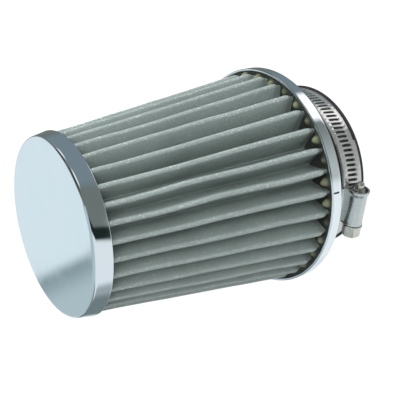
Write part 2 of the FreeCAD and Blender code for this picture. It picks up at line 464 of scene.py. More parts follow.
# Materials
def chrome_material():
    """Bright plated sheet with faint ripples and handling haze."""
    haze_scale, haze_detail, haze_edges = 60.0, 6.0, (0.35, 0.75)
    ripple_scale, ripple_detail, ripple_height = 34.0, 1.0, 0.012 * MM
    clear, hazy = colour(0.80, 0.85, 0.88), colour(0.88, 0.91, 0.93)
    roughness = (0.035, 0.11)
    material, nodes, shader = new_material("chrome_plate")
    place = nodes.place()
    haze = nodes.noise(place, haze_scale, haze_detail)
    ripple = nodes.noise(place, ripple_scale, ripple_detail)
    looks = {
        "Base Color": nodes.mix(haze, clear, hazy),
        "Metallic": 1.0,
        "Roughness": nodes.rise(haze, *haze_edges, *roughness),
        "Normal": nodes.bump(ripple, ripple_height),
    }
    nodes.fill(shader, looks)
    return material


def weave_nodes(nodes):
    """Height of a plain wire weave over the sheet's own coordinates, one unit per wire."""
    wire_half_width = 0.29
    wave_height, mean_height = 0.38, 0.62
    place = nodes.add("ShaderNodeUVMap", uv_map="weave").outputs[0]
    split = nodes.add("ShaderNodeSeparateXYZ", Vector=place)
    heights = []
    for across, along, side in ((0, 1, 1), (1, 0, -1)):
        cell = nodes.math("FLOOR", split.outputs[across])
        offset = nodes.math("SUBTRACT", nodes.math("FRACT", split.outputs[across]), 0.5)
        share = nodes.math("DIVIDE", offset, wire_half_width)
        dome = nodes.math("SUBTRACT", 1.0, nodes.product(share, share))
        dome = nodes.math("SQRT", nodes.math("MAXIMUM", dome, 0.0))
        wave = nodes.product(nodes.math("ADD", cell, split.outputs[along]), math.pi)
        wave = nodes.product(nodes.math("COSINE", wave), wave_height * side)
        heights.append(nodes.product(dome, nodes.math("ADD", wave, mean_height)))
    return nodes.math("MAXIMUM", *heights)


def crest_nodes(nodes, place):
    """1 on the outer edge of the pleats and 0 further in."""
    fade_depth, full_depth = 1.6 * MM, 0.3 * MM
    split = nodes.add("ShaderNodeSeparateXYZ", Vector=place)
    squares = [nodes.product(split.outputs[axis], split.outputs[axis]) for axis in "XY"]
    radius = nodes.math("SQRT", nodes.math("ADD", *squares))
    slope = (ELEMENT_TOP_R - ELEMENT_BASE_R) / (ELEMENT_TOP_Z - ELEMENT_BASE_Z)
    narrowing = nodes.product(split.outputs["Z"], slope)
    edge = (ELEMENT_BASE_R - ELEMENT_BASE_Z * slope) * MM
    depth = nodes.math("SUBTRACT", nodes.math("ADD", narrowing, edge), radius)
    return nodes.rise(depth, fade_depth, full_depth)


def mesh_material():
    """Woven wire over dusty gauze in painted shade, with a painted highlight and painted glints along the
    crests of the pleats.
    """
    dust_scale, dust_detail, dust_edges = 55.0, 5.0, (0.3, 0.7)
    speck_scale, speck_detail, speck_edges = 1200.0, 2.0, (0.54, 0.68)
    dull_wire, clean_wire = colour(0.275, 0.34, 0.322), colour(0.375, 0.455, 0.435)
    # Gauze seen between the wires, darkened as painted shade, lighter where dusty.
    shaded_gap_dark, shaded_gap_dusty = colour(0.148, 0.176, 0.166), colour(0.222, 0.260, 0.244)
    # Painted highlight along the crests of the pleats.
    crest_highlight, crest_highlight_share = colour(0.68, 0.76, 0.75), 0.18
    # Painted glints on specks of wire, stronger towards the crests.
    bright, glint_shares = colour(0.88, 0.90, 0.90), (0.25, 0.85)
    wire_edges, wire_metal, wire_height = (0.15, 0.55), 0.35, 0.06 * MM
    roughness = (0.38, 0.52)
    material, nodes, shader = new_material("woven_wire")
    place = nodes.place()
    height = weave_nodes(nodes)
    crest = crest_nodes(nodes, place)
    dust = nodes.noise(place, dust_scale, dust_detail)
    speck = nodes.rise(nodes.noise(place, speck_scale, speck_detail), *speck_edges)
    glint = nodes.product(speck, nodes.rise(crest, 0.0, 1.0, *glint_shares))
    wire = nodes.mix(dust, dull_wire, clean_wire)
    # Painted crest highlight, strongest on the outer edge of the pleats.
    wire = nodes.mix(nodes.product(crest, crest_highlight_share), wire, crest_highlight)
    # Painted glints over the wire.
    wire = nodes.mix(glint, wire, bright)
    # Painted shade of the gauze between the wires, varied by dust.
    gap = nodes.mix(dust, shaded_gap_dark, shaded_gap_dusty)
    on_wire = nodes.rise(height, *wire_edges)
    looks = {
        "Base Color": nodes.mix(on_wire, gap, wire),
        "Metallic": nodes.product(on_wire, wire_metal),
        "Roughness": nodes.rise(dust, *dust_edges, *roughness),
        "Normal": nodes.bump(height, wire_height),
    }
    nodes.fill(shader, looks)
    return material


def gauze_material():
    """Cotton gauze with a fine thread, painted darker where the weave sinks as painted shade."""
    # Sunk parts of the weave are darker as painted shade.
    shaded_sunk_thread, top_thread = colour(0.30, 0.30, 0.27), colour(0.58, 0.57, 0.52)
    thread_height = 0.2 * MM
    material, nodes, shader = new_material("cotton_gauze")
    height = weave_nodes(nodes)
    looks = {
        "Base Color": nodes.mix(height, shaded_sunk_thread, top_thread),
        "Roughness": 0.95,
        "Normal": nodes.bump(height, thread_height),
    }
    nodes.fill(shader, looks)
    return material


def potting_material():
    """Cloudy yellow-green set compound, with near-black painted shade where it lies flat, low between the
    beads.
    """
    cloud_scale, cloud_detail, cloud_edges = 140.0, 5.0, (0.3, 0.7)
    grain_scale, grain_detail, grain_height = 420.0, 3.0, 0.2 * MM
    dark_bead, pale_bead = colour(0.11, 0.125, 0.065), colour(0.22, 0.235, 0.145)
    # Near-black painted shade on the flat compound, fading out as the beads rise.
    flat_shade = colour(0.03, 0.034, 0.028)
    shade_rise, bead_rise = 0.5, 2.4
    roughness = (0.38, 0.6)
    material, nodes, shader = new_material("set_compound")
    place = nodes.place()
    cloud = nodes.noise(place, cloud_scale, cloud_detail)
    level = nodes.add("ShaderNodeSeparateXYZ", Vector=place).outputs["Z"]
    raised = nodes.rise(level, (ELEMENT_BASE_Z + shade_rise) * MM, (ELEMENT_BASE_Z + bead_rise) * MM)
    grain = nodes.noise(place, grain_scale, grain_detail)
    looks = {
        # Painted shade low down, and the compound's cloudy colour on the beads.
        "Base Color": nodes.mix(raised, flat_shade, nodes.mix(cloud, dark_bead, pale_bead)),
        "Roughness": nodes.rise(cloud, *cloud_edges, *roughness),
        "Subsurface Weight": 0.15,
        "Subsurface Radius": (0.002, 0.002, 0.001),
        "Normal": nodes.bump(grain, grain_height),
    }
    nodes.fill(shader, looks)
    return material


def rubber_material():
    """Black moulded rubber with a fine grain and pale bloom."""
    bloom_scale, bloom_detail, bloom_edges = 90.0, 6.0, (0.3, 0.7)
    grain_scale, grain_detail, grain_height = 2200.0, 2.0, 0.05 * MM
    black, bloomed = colour(0.011, 0.011, 0.013), colour(0.034, 0.034, 0.038)
    roughness = (0.42, 0.62)
    material, nodes, shader = new_material("black_rubber")
    place = nodes.place()
    bloom = nodes.noise(place, bloom_scale, bloom_detail)
    grain = nodes.noise(place, grain_scale, grain_detail)
    looks = {
        "Base Color": nodes.mix(bloom, black, bloomed),
        "Roughness": nodes.rise(bloom, *bloom_edges, *roughness),
        "Normal": nodes.bump(grain, grain_height),
    }
    nodes.fill(shader, looks)
    return material


def steel_material(name, tints, stretch, roughness, metallic=1.0):
    """Steel with streaks drawn out along one direction."""
    streak_scale, streak_detail, streak_edges = 300.0, 3.0, (0.25, 0.75)
    streak_height = 0.03 * MM
    stain_scale, stain_detail = 120.0, 5.0
    material, nodes, shader = new_material(name)
    place = nodes.place()
    drawn = nodes.add("ShaderNodeMapping", Vector=place, Scale=stretch).outputs[0]
    streak = nodes.noise(drawn, streak_scale, streak_detail)
    stain = nodes.noise(place, stain_scale, stain_detail)
    looks = {
        "Base Color": nodes.mix(stain, *tints),
        "Metallic": metallic,
        "Roughness": nodes.rise(streak, *streak_edges, *roughness),
        "Normal": nodes.bump(streak, streak_height),
    }
    nodes.fill(shader, looks)
    return material


CHROME = chrome_material()
WIRE = mesh_material()
GAUZE = gauze_material()
POTTING = potting_material()
RUBBER = rubber_material()
STRAP_STEEL = steel_material(
    "rolled_strip",
    tints=(colour(0.54, 0.53, 0.51), colour(0.67, 0.665, 0.65)),
    stretch=(1.0, 1.0, 14.0),
    roughness=(0.11, 0.2),
    metallic=0.82,
)
HOUSING_STEEL = steel_material(
    "pressed_steel",
    tints=(colour(0.53, 0.555, 0.54), colour(0.67, 0.69, 0.68)),
    stretch=(6.0, 0.6, 6.0),
    roughness=(0.2, 0.34),
)
SCREW_STEEL = steel_material(
    "zinc_steel",
    tints=(colour(0.58, 0.56, 0.50), colour(0.74, 0.72, 0.67)),
    stretch=(3.0, 3.0, 3.0),
    roughness=(0.22, 0.42),
)


# Chrome pressings
def end_cap():
    """Pressed cup with a flat face, a rounded rim and a flared skirt with a turned edge."""
    inner_z = CAP_TOP_Z - SHEET
    outline = rounded(
        [
            (0, CAP_TOP_Z),
            (CAP_RIM_R - CAP_CORNER_R - CAP_HEM, CAP_TOP_Z),
            (CAP_RIM_R, CAP_TOP_Z, CAP_CORNER_R),
            (CAP_SKIRT_R, CAP_SKIRT_Z, CAP_HEM),
            (CAP_SKIRT_R - SHEET, CAP_SKIRT_Z, CAP_HEM),
            (CAP_RIM_R - SHEET, inner_z, CAP_CORNER_R - SHEET),
            (0, inner_z),
        ]
    )
    made = piece("cap_shell", *turned(outline, round_turns(CUP_STEPS)), CHROME, "chrome")
    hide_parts("end_cap")


def ring_outline(joint_levels):
    """Outline of the pan with its hemmed lip, and a point on the wall at each level of the joint."""
    hem_z = RING_TOP_Z - 2 * RING_HEM_R
    return rounded(
        [
            (NECK_R, RING_BOTTOM_Z),
            (RING_R, RING_BOTTOM_Z, RING_CORNER_R),
            *[(RING_R, level) for level in joint_levels],
            (RING_R, RING_TOP_Z, RING_HEM_R),
            (RING_LIP_R, RING_TOP_Z, RING_HEM_R),
            (RING_LIP_R, hem_z),
            (RING_R - SHEET, hem_z),
            (RING_R - SHEET, PAN_FLOOR_Z, RING_CORNER_R - SHEET),
            (NECK_R, PAN_FLOOR_Z),
        ]
    )


def base_ring():
    """Pressed pan with a rounded outer corner, a hemmed lip and a short joint line across its wall, whose
    notch is darkened with painted shade.
    """
    joint_start = RING_BOTTOM_Z + RING_CORNER_R + JOINT_WIDTH
    joint_levels = [joint_start, joint_start + JOINT_WIDTH / 2]
    joint_levels += [level + JOINT_LENGTH for level in joint_levels]
    half_joint = JOINT_WIDTH / 2 / RING_R
    sides = (-1, -JOINT_FLOOR_SHARE, JOINT_FLOOR_SHARE, 1)
    edges = [JOINT_TURN + half_joint * side for side in sides]
    away = [t for t in round_turns(RING_STEPS) if abs(t - JOINT_TURN) > 2 * half_joint]
    points, faces = turned(ring_outline(joint_levels), sorted(away + edges))
    half_floor = half_joint * (1 + JOINT_FLOOR_SHARE) / 2
    sunk = 1 - JOINT_DEPTH / RING_R
    for i, (x, y, z) in enumerate(points):
        on_wall = joint_levels[1] <= z <= joint_levels[2] and math.hypot(x, y) > RING_R - SHEET / 2
        if on_wall and abs(math.atan2(y, x) - JOINT_TURN) < half_floor:
            points[i] = (x * sunk, y * sunk, z)
    made = piece("ring_shell", points, faces, CHROME, "chrome")
    # The faces in the joint's notch take the compound's dark look as painted shade in the seam.
    made.data.materials.append(POTTING)
    for polygon in made.data.polygons:
        x, y, z = polygon.center / MM
        in_width = abs(math.atan2(y, x) - JOINT_TURN) < half_joint
        in_length = joint_levels[0] < z < joint_levels[3]
        in_depth = RING_R - SHEET < math.hypot(x, y) < RING_R - JOINT_DEPTH / 4
        if in_width and in_length and in_depth:
            polygon.material_index = 1
    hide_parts("base_ring")


# Rubber and compound
def rubber_neck():
    """Moulded sleeve with a flange and a retaining lip."""
    outline = rounded(
        [
            (BORE_R, 0, LIP_ROUND),
            (LIP_R, 0, LIP_ROUND),
            (LIP_R, LIP_WIDTH, LIP_ROUND),
            (NECK_R, LIP_WIDTH),
            (NECK_R, PAN_FLOOR_Z),
            (FLANGE_R, PAN_FLOOR_Z),
            (FLANGE_R, FLANGE_TOP_Z),
            (BORE_R, FLANGE_TOP_Z),
        ]
    )
    made = piece("neck_sleeve", *turned(outline, round_turns(CUP_STEPS)), RUBBER, "rubber")
    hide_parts("rubber_neck")


def potting_height(turn, radius):
    """Top of the base's compound, which stands up as an uneven bead in each valley."""
    if radius > RING_LIP_R - HEM_GAP:
        return ELEMENT_BASE_Z
    nearest = round(turn / PITCH)
    index = nearest % PLEATS
    aside = (turn - nearest * PITCH) * radius
    lift = BEAD_LIFT + BEAD_LIFT_SPREAD * wander(index, LIFT_PLACE, LIFT_FIELD)
    bead_r = BEAD_R + BEAD_R_SPREAD * wander(index, BEAD_R_PLACE, BEAD_R_FIELD)
    away = (aside / BEAD_REACH) ** 2 + ((radius - bead_r) / BEAD_REACH) ** 2
    swell = math.exp(-(away**BEAD_STEEPNESS))
    place = Vector((radius * math.cos(turn), radius * math.sin(turn), 0)) / GRAIN_LENGTH
    return ELEMENT_BASE_Z + (lift + BEAD_GRAIN * noise.noise(place)) * swell


def base_potting():
    """Ring of compound in the pan, with beads between the pleats."""
    turns = round_turns(PLEATS * BEAD_STEPS)
    steps = len(turns)
    inner_r, outer_r = ELEMENT_BORE_R, RING_R - SHEET - POTTING_GAP
    flange_r, floor_z = FLANGE_R + POTTING_GAP, PAN_FLOOR_Z + POTTING_GAP
    corner = RING_CORNER_R - SHEET
    under = [
        (inner_r, FLANGE_TOP_Z + POTTING_GAP),
        (flange_r, FLANGE_TOP_Z),
        (flange_r, floor_z),
        (outer_r - corner, floor_z),
        (outer_r, floor_z + corner),
    ]
    points = [(r * math.cos(t), r * math.sin(t), z) for r, z in under for t in turns]
    for r in spaced(outer_r, inner_r, POTTING_ROWS):
        points += [(r * math.cos(t), r * math.sin(t), potting_height(t, r)) for t in turns]
    row_count = len(points) // steps
    faces = []
    for row in range(row_count):
        faces += ring_quads(row * steps, (row + 1) % row_count * steps, steps)
    made = piece("potting_base", points, faces, POTTING, "potting")
    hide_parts("base_potting")


def cap_potting():
    """Compound in the cap, whose solid only gets a better material."""
    materials = frame["nodes"]["cap_potting"].data.materials
    materials.clear()
    materials.append(POTTING)


# Pleated element
def fold_section(offset, fineness):
    """One pleat of the base section about the X axis: radius, turn from the tip, and length along it."""
    tip_r, valley_r = TIP_R + offset, VALLEY_R - offset
    tip = Vector((TIP_BASE, 0))
    valley = Vector((math.cos(HALF_PITCH), math.sin(HALF_PITCH))) * VALLEY_BASE
    span = valley - tip
    lean = math.atan2(span.y, span.x) - math.acos((tip_r + valley_r) / span.length)
    tip_turns = spaced(-lean, lean, 2 * fineness)
    points = [tip + Vector((math.cos(t), math.sin(t))) * tip_r for t in tip_turns]
    valley_turns = spaced(lean, PITCH - lean, 2 * fineness)
    hollow = [valley - Vector((math.cos(t), math.sin(t))) * valley_r for t in valley_turns]
    points += [points[-1].lerp(hollow[0], i / fineness) for i in range(1, fineness)]
    points += hollow
    next_tip = Matrix.Rotation(PITCH, 2) @ points[0]
    points += [hollow[-1].lerp(next_tip, i / fineness) for i in range(1, fineness)]
    section, length = [], 0.0
    for i, p in enumerate(points):
        length += (p - points[i - 1]).length if i else 0.0
        section.append((p.length, math.atan2(p.y, p.x), length))
    return section, length + (next_tip - points[-1]).length


def bent(radius, turn, z, index):
    """Where a point of a pleat ends up once the fold is crimped into the compound and knocked about."""
    share = (z - ELEMENT_BASE_Z) / (ELEMENT_TOP_Z - ELEMENT_BASE_Z)
    scale = 1 + (ELEMENT_TOP_R / ELEMENT_BASE_R - 1) * share
    if turn > HALF_PITCH:
        turn -= PITCH
        index += 1
    index %= PLEATS
    middle = 1 - (turn / HALF_PITCH) ** 2
    crimp = 1 - smoothstep(0.0, CRIMP_LENGTH, z - ELEMENT_BASE_Z)
    height = max(0.0, radius - ELEMENT_BORE_R) / (ELEMENT_BASE_R - ELEMENT_BORE_R)
    turn *= 1 - CRIMP_SQUEEZE * crimp * middle
    free = smoothstep(0.0, FREE_FROM, share) * smoothstep(1.0, FREE_TO, share)
    sway = wander(index, z / SWAY_LENGTH, SWAY_FIELD) * SWAY * free
    sway += wander(index, z / DENT_LENGTH, SHAKE_FIELD) * SWAY * SHAKE_SHARE * free
    turn += sway / radius * middle
    dent = (wander(index, z / DENT_LENGTH, DENT_FIELD) - 1) / 2
    radius = radius * scale - (CRIMP_DROP * crimp**2 - DENT * dent * free) * height
    turn += HALF_PITCH * (2 * index + 1)
    return radius * math.cos(turn), radius * math.sin(turn), z


def fold_rows(count):
    """Heights of the rows along the pleats, close together where the folds are crimped."""
    crimped = int(count * CRIMP_ROW_SHARE)
    rows = spaced(ELEMENT_BASE_Z, ELEMENT_BASE_Z + CRIMP_LENGTH, crimped)
    return rows + spaced(ELEMENT_BASE_Z + CRIMP_LENGTH, ELEMENT_TOP_Z, count - crimped)[1:]


def sheet_side(offset, fineness, rows, pitch):
    """Points of one side of a folded sheet, row by row, and how far along the weave each column is."""
    section, pleat_length = fold_section(offset, fineness)
    columns = [(r, t, index, s) for index in range(PLEATS) for r, t, s in section]
    points = [bent(r, t, z, index) for z in rows for r, t, index, _ in columns]
    along = [(index * pleat_length + s) / pitch for _, _, index, s in columns]
    return points, along + [PLEATS * pleat_length / pitch]


def folded_sheet(name, node, slot, material, offsets, fineness, row_count, pitch):
    """Closed folded sheet between an outer and an inner offset, with its own weave coordinates."""
    rows = fold_rows(row_count)
    levels = [z / pitch for z in rows]
    points, faces, places, starts = [], [], [], []
    for offset, facing in zip(offsets, (1, -1)):
        start = len(points)
        starts.append(start)
        side_points, along = sheet_side(offset, fineness, rows, pitch)
        points += side_points
        count = len(along) - 1
        for row, (low_v, high_v) in enumerate(zip(levels, levels[1:])):
            quads = ring_quads(start + row * count, start + (row + 1) * count, count)
            faces += [quad[::facing] for quad in quads]
            for low_u, high_u in zip(along, along[1:]):
                corners = [(low_u, low_v), (high_u, low_v), (high_u, high_v), (low_u, high_v)]
                places.append(corners[::facing])
    for row, facing in ((0, -1), (len(rows) - 1, 1)):
        outer_start, inner_start = (start + row * count for start in starts)
        quads = ring_quads(outer_start, inner_start, count)
        faces += [quad[::facing] for quad in quads]
        places += [[(0.0, 0.0)] * len(quad) for quad in quads]
    made = piece(name, points, faces, material, slot, sharp_deg=75)
    layer = made.data.uv_layers.new(name="weave")
    for polygon, corners in zip(made.data.polygons, places):
        for loop, place in zip(polygon.loop_indices, corners):
            layer.data[loop].uv = place
    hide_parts(node)


def element():
    """Wire, gauze and wire folded together."""
    wire = ("wire_mesh", WIRE)
    outer, media, inner = (SKIN, HALF_MEDIA), (HALF_MEDIA, -HALF_MEDIA), (-HALF_MEDIA, -SKIN)
    fine, plain = (FINE_FOLD, FINE_ROWS), (PLAIN_FOLD, PLAIN_ROWS)
    folded_sheet("mesh_outer", "outer_mesh", *wire, outer, *fine, WIRE_PITCH)
    folded_sheet("gauze_fold", "filter_media", "gauze", GAUZE, media, *plain, THREAD_SPACING)
    folded_sheet("mesh_inner", "inner_mesh", *wire, inner, *plain, WIRE_PITCH)


# Hose clamp
def slot_cell(centre, half_step):
    """Flat cell of the strap round one slot: outer and inner loops of (turn, z) points."""
    half_length, half_width = SLOT_LENGTH / 2, SLOT_WIDTH / 2 / BAND_R
    ease = half_width * SLOT_ROUND_SHARE
    inner, outer = [], []
    for side, end in ((1, 1), (-1, 1), (-1, -1), (1, -1)):
        start = math.atan2(end, side) - math.pi / 4
        for t in spaced(start, start + math.pi / 2, SLOT_CORNER_STEPS):
            z = end * (half_length - ease * BAND_R) + math.sin(t) * ease * BAND_R
            turn = side * (half_width - ease) + math.cos(t) * ease
            inner.append((centre + turn + SLOT_SLANT * z / BAND_R, CLAMP_Z + z))
        edge_z = BAND_TOP_Z if end > 0 else BAND_BOTTOM_Z
        edge_turn = centre + side * half_step
        corner = [(edge_turn, CLAMP_Z + end * half_length), (edge_turn, edge_z), (centre, edge_z)]
        outer += corner if side * end > 0 else corner[::-1]
    return outer, inner


def slotted_faces(centre):
    """Faces of one pitch of strap round its slot, as loops of (turn, z)."""
    outer, inner = slot_cell(centre, SLOT_STEP / 2)
    share = len(inner) / len(outer)
    loops = []
    for i in range(len(outer)):
        first, last = int(i * share), int((i + 1) * share)
        hole = [inner[j % len(inner)] for j in range(first, last + 1)]
        loops.append([outer[i], outer[(i + 1) % len(outer)], *hole[::-1]])
    return loops


def plain_faces(start, end):
    """Faces of a plain stretch of strap, as loops of (turn, z)."""
    turns = spaced(start, end, STRAP_COLUMNS)
    levels = spaced(BAND_BOTTOM_Z, BAND_TOP_Z, STRAP_ROWS)
    loops = []
    for first, last in zip(turns, turns[1:]):
        for bottom, top in zip(levels, levels[1:]):
            loops.append([(first, bottom), (last, bottom), (last, top), (first, top)])
    return loops


def strap_faces(first, last):
    """Faces of one layer of strap, with a slot in every pitch that has one."""
    slots = range(-SLOTS_UNDER_SCREW, SLOT_COUNT - SLOTS_UNDER_SCREW)
    loops = []
    for i in range(math.floor(first / SLOT_STEP), math.ceil(last / SLOT_STEP) + 1):
        start, end = (i - 0.5) * SLOT_STEP, (i + 0.5) * SLOT_STEP
        if i in slots and first <= start and end <= last:
            loops += slotted_faces(i * SLOT_STEP)
        elif max(start, first) < min(end, last):
            loops += plain_faces(max(start, first), min(end, last))
    return loops


def strap():
    """Slotted strap whose free end lies over its own loop."""
    tail_start = -math.asin(HOUSING_HALF / TAIL_R)
    layers = [(tail_start, tail_start + FULL_TURN, NECK_R), (tail_start, TAIL_END, BAND_R)]
    index, points, faces = {}, [], []
    for first, last, inner_r in layers:
        r = inner_r + STRAP_INSET
        for loop in strap_faces(first, last):
            face = []
            for turn, z in loop:
                place = turn % FULL_TURN if inner_r == NECK_R else turn
                key = (round(place, TURN_DIGITS), round(z, LEVEL_DIGITS), r)
                if key not in index:
                    index[key] = len(points)
                    points.append((r * math.cos(turn), r * math.sin(turn), z))
                face.append(index[key])
            kept = list(dict.fromkeys(face))
            if len(kept) > 2:
                faces.append(kept)
    made = piece("slotted_strap", points, faces, STRAP_STEEL, "stainless", sharp_deg=35)
    thick = made.modifiers.new("thickness", "SOLIDIFY")
    thick.thickness = (BAND - 2 * STRAP_INSET) * MM
    thick.offset = 1.0
    round_edges(made, STRAP_EDGE, segments=2, angle_deg=60)
    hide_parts("clamp_band")


def housing_section(y, flare):
    """Arch over the screw and legs down to the saddle, as one bent sheet at a place along the screw."""
    seat_x = math.sqrt((TAIL_R + HOUSING_WALL * LEG_SEAT_SHARE) ** 2 - y * y)
    sides = []
    for r in (HOUSING_R + flare, HOUSING_R + flare - HOUSING_WALL):
        turns = spaced(-math.pi / 2, math.pi / 2, ARCH_STEPS)
        arch = [(SCREW_X + r * math.cos(t), y, CLAMP_Z + r * math.sin(t)) for t in turns]
        sides.append([(seat_x, y, CLAMP_Z - r), *arch, (seat_x, y, CLAMP_Z + r)])
    outside, inside = sides
    return outside + inside[::-1]


def saddle_section(turn):
    """Plate bent over the strap's edges, at a turn about the filter's axis."""
    half = (BAND_TOP_Z - BAND_BOTTOM_Z) / 2
    reach = half + HOUSING_FOOT
    inside_r, outside_r = TAIL_R + SADDLE_GAP, TAIL_R + HOUSING_WALL
    lip_r, neck_r = LIP_R + SADDLE_LIP_GAP, NECK_R + SADDLE_NECK_GAP
    profile = rounded(
        [
            (outside_r, CLAMP_Z + reach, RING_SIDE_ROUND),
            (neck_r, CLAMP_Z + reach),
            (neck_r, CLAMP_Z + half + RING_SIDE_GAP),
            (inside_r, CLAMP_Z + half + RING_SIDE_GAP),
            (inside_r, CLAMP_Z - half - LIP_SIDE_GAP),
            (lip_r, CLAMP_Z - half - LIP_SIDE_GAP),
            (lip_r, CLAMP_Z - reach),
            (outside_r, CLAMP_Z - reach, LIP_SIDE_ROUND),
        ],
        SADDLE_CORNER_STEPS,
    )
    return [(r * math.cos(turn), r * math.sin(turn), z) for r, z in profile]


def clamp_housing():
    """Pressed housing: a curved saddle on the strap with a barrel over the screw, flared at its ends."""
    barrel = []
    for y in spaced(-HOUSING_HALF, HOUSING_HALF, HOUSING_STEPS):
        to_tip = smoothstep(HOUSING_HALF - TIP_FLARE_FROM, HOUSING_HALF - TIP_FLARE_TO, y)
        to_head = smoothstep(HEAD_FLARE_FROM - HOUSING_HALF, HEAD_FLARE_TO - HOUSING_HALF, y)
        flare = HOUSING_FLARE * (to_tip + HEAD_FLARE_SHARE * to_head)
        barrel.append(housing_section(y, flare - HOUSING_INSET))
    half_turn = math.asin((HOUSING_HALF - SADDLE_INSET) / TAIL_R)
    saddle = [saddle_section(turn) for turn in spaced(-half_turn, half_turn, SADDLE_STEPS)]
    shape = joined(lofted(barrel), lofted(saddle))
    made = piece("screw_housing", *shape, HOUSING_STEEL, "stainless", sharp_deg=50)
    round_edges(made, HOUSING_EDGE, segments=3, angle_deg=50)
    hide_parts("clamp_housing")


def screw_ring(y, radii):
    """Closed ring of points round the screw's axis, one for each radius."""
    turns = round_turns(len(radii))
    return [(SCREW_X + r * math.cos(t), y, CLAMP_Z + r * math.sin(t)) for r, t in zip(radii, turns)]


def thread_radius(y, turn, shank_end):
    """Radius of the shank, whose thread fades out towards its end."""
    phase = (y / THREAD_PITCH + turn / FULL_TURN) % 1.0
    ridge = smoothstep(RIDGE_FOOT, RIDGE_CREST, phase)
    ridge *= smoothstep(1 - RIDGE_FOOT, 1 - RIDGE_CREST, phase)
    fade = smoothstep(shank_end, shank_end - THREAD_PITCH / 2, y)
    return SCREW_CORE_R + (THREAD_R - SCREW_CORE_R) * ridge * fade


def worm():
    """Threaded shank with a plain tip, as a row of rings."""
    shank_end = SCREW_TIP_Y - SCREW_TIP_LENGTH
    turns = round_turns(SHANK_SIDES)
    rings = []
    for y in spaced(COLLAR_TOP_Y, shank_end, SHANK_ROWS):
        rings.append(screw_ring(y, [thread_radius(y, t, shank_end) for t in turns]))
    tip = [
        (shank_end + TIP_STEP, SCREW_TIP_R),
        (SCREW_TIP_Y - TIP_TAPER, SCREW_TIP_R),
        (SCREW_TIP_Y - TIP_POINT, SCREW_TIP_R * TIP_TAPER_SHARE),
        (SCREW_TIP_Y, SCREW_TIP_R * TIP_POINT_SHARE),
    ]
    rings += [screw_ring(y, [r] * SHANK_SIDES) for y, r in tip]
    return lofted(rings)


def screw_head():
    """Collar and hexagon with a chamfered end."""
    apothem, sector = HEAD_FLATS / 2, math.pi / 3
    from_middle = [(t + sector / 2) % sector - sector / 2 for t in round_turns(HEAD_SIDES)]
    hexagon = [apothem / math.cos(t) for t in from_middle]
    chamfer, end = ([min(r, apothem * s) for r in hexagon] for s in (HEAD_EDGE_SHARE, HEAD_END_SHARE))
    collar = [COLLAR_R] * HEAD_SIDES
    collar_edge = [COLLAR_R - COLLAR_ROUND] * HEAD_SIDES
    collar_base_y = COLLAR_TOP_Y - COLLAR
    rings = [
        (COLLAR_TOP_Y, collar_edge),
        (COLLAR_TOP_Y - COLLAR_ROUND, collar),
        (collar_base_y + COLLAR_ROUND, collar),
        (collar_base_y, collar_edge),
        (collar_base_y - HEAD_STEP, hexagon),
        (SCREW_HEAD_Y + HEAD_CHAMFER, hexagon),
        (SCREW_HEAD_Y + HEAD_EDGE, chamfer),
        (SCREW_HEAD_Y, end),
    ]
    return lofted([screw_ring(y, radii) for y, radii in rings])


def driver_slot():
    """Block that cuts the driver slot."""
    half, reach = DRIVER_SLOT / 2, 2 * HEAD_FLATS
    corners = [(-reach, -half), (reach, -half), (reach, half), (-reach, half)]
    ends = (SCREW_HEAD_Y - reach, SCREW_HEAD_Y + DRIVER_DEPTH)
    sections = [[(SCREW_X + x, y, CLAMP_Z + z) for x, z in corners] for y in ends]
    return new_object("driver_slot", new_mesh("driver_slot", *lofted(sections)))


def clamp_screw():
    """Worm screw, with the driver slot cut out of its head."""
    sharp_deg = 35
    shape = joined(worm(), screw_head())
    made = piece("worm_screw_turned", *shape, SCREW_STEEL, "zinc_screw", "worm_screw", sharp_deg)
    cutter = driver_slot()
    cut = made.modifiers.new("driver_slot", "BOOLEAN")
    cut.operation = "DIFFERENCE"
    cut.object = cutter
    cut.solver = "EXACT"
    graph = bpy.context.evaluated_depsgraph_get()
    finished = bpy.data.meshes.new_from_object(made.evaluated_get(graph))
    made.modifiers.clear()
    made.data = finished
    bpy.data.objects.remove(cutter)
    finished.set_sharp_from_angle(angle=math.radians(sharp_deg))
    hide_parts("clamp_screw")


# Camera
def camera_axes():
    """Camera's right, down and ahead in the part's frame, and its place."""
    side = AXIS_SEEN.cross(Vector((0, 1, 0))).normalized()
    other = AXIS_SEEN.cross(side)
    x_seen = side * math.cos(SPIN) + other * math.sin(SPIN)
    y_seen = other * math.cos(SPIN) - side * math.sin(SPIN)
    to_part = Matrix((x_seen, y_seen, AXIS_SEEN))
    origin_seen = RING_SEEN - AXIS_SEEN * RING_TOP_Z
    right, down, ahead = (to_part @ Vector(axis) for axis in ((1, 0, 0), (0, 1, 0), (0, 0, 1)))
    return right, down, ahead, -(to_part @ origin_seen) * MM


RIGHT, DOWN, AHEAD, CAMERA_PLACE = camera_axes()


def add_camera():
    """Camera at the photograph's viewing angle."""
    data = bpy.data.cameras.new("camera")
    data.lens = LENS
    data.sensor_width = SENSOR
    data.clip_start = NEAR_CLIP
    camera = new_object("camera", data)
    turn = Matrix((RIGHT, -DOWN, -AHEAD)).transposed()
    camera.matrix_world = Matrix.Translation(CAMERA_PLACE) @ turn.to_4x4()
    bpy.context.scene.camera = camera


# Light and floor, with directions as the camera's right, down and ahead
WEDGE_WAY = (0.1707, 0.9700, -0.1730)

